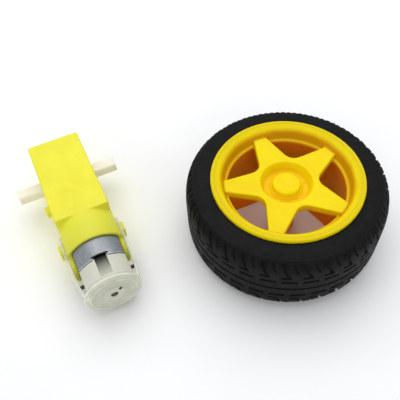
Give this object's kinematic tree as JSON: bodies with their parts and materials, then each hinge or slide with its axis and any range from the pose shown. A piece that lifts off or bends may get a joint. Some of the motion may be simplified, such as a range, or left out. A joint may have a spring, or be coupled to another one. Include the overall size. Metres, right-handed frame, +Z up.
{
  "type": "gear motor and wheel set",
  "caption": "Small dual-shaft gear motor standing on its narrow edge beside its loose spoked wheel with a treaded tyre.",
  "frame": {"origin": "middle of the whole set's footprint, on the floor it stands on", "axes": "+X along the gear motor's output shaft, towards the side where the wheel lies; -Y towards the motor's tail; +Z up"},
  "size_m": [0.118, 0.097, 0.0278],
  "materials": {
    "yellow_housing": "moulded lemon yellow plastic, satin",
    "yellow_rim": "moulded golden yellow plastic, semi-gloss",
    "white_plastic": "ivory acetal, satin",
    "bell_plastic": "milky nylon, slightly see-through",
    "clear_strap": "hazy clear moulded plastic",
    "can_steel": "zinc-plated drawn steel",
    "screw_steel": "bright steel",
    "lamination": "stacked steel sheet, dull",
    "ferrite": "dark ferrite, matt",
    "bronze": "plain brass or bronze",
    "copper": "bare and enamelled copper",
    "black_rubber": "black moulded rubber, matt",
    "sponge": "open-cell sponge"
  },
  "bodies": {
    "gearmotor": {"housing_left": "yellow_housing", "housing_right": "yellow_housing", "housing_screws": "screw_steel", "idler_pin_1": "screw_steel", "idler_pin_2": "screw_steel", "motor_can": "can_steel", "motor_end_bell": "bell_plastic", "motor_magnets": "ferrite", "magnet_clip": "screw_steel", "front_bearing": "bronze", "rear_bearing": "bronze", "motor_brushes": "copper", "motor_terminals": "bronze", "retaining_strap": "clear_strap"},
    "output": {"output_shaft": "white_plastic", "output_gear": "white_plastic"},
    "idler_1": {"idler_gear_1": "white_plastic"},
    "idler_2": {"idler_gear_2": "white_plastic"},
    "rotor": {"rotor_shaft": "screw_steel", "rotor_core": "lamination", "rotor_windings": "copper", "commutator": "copper", "rotor_spacers": "white_plastic", "motor_pinion": "white_plastic"},
    "wheel": {"wheel_rim": "yellow_rim", "tyre": "black_rubber", "tyre_liner": "sponge"}
  },
  "joints": [
    {"name": "output_spin", "type": "hinge", "parent": "gearmotor", "child": "output", "pos_m": [-0.0405, 0.0315, 0.01125], "axis": [1, 0, 0], "continuous": true},
    {"name": "idler_2_spin", "type": "hinge", "parent": "gearmotor", "child": "idler_2", "pos_m": [-0.0405, 0.02193, 0.01415], "axis": [1, 0, 0], "continuous": true},
    {"name": "idler_1_spin", "type": "hinge", "parent": "gearmotor", "child": "idler_1", "pos_m": [-0.0405, 0.01447, 0.01125], "axis": [1, 0, 0], "continuous": true},
    {"name": "rotor_spin", "type": "hinge", "parent": "gearmotor", "child": "rotor", "pos_m": [-0.0405, 0.0315, 0.01125], "axis": [0, 1, 0], "continuous": true},
    {"name": "wheel_lift", "type": "slide", "parent": "gearmotor", "child": "wheel", "axis": [0, 0, 1], "range_m": [0, 0.06]}
  ],
  "couplings": [
    {"joint": "idler_2_spin", "follows": "output_spin", "ratio": -4},
    {"joint": "idler_1_spin", "follows": "output_spin", "ratio": 16},
    {"joint": "rotor_spin", "follows": "output_spin", "ratio": 48}
  ]
}
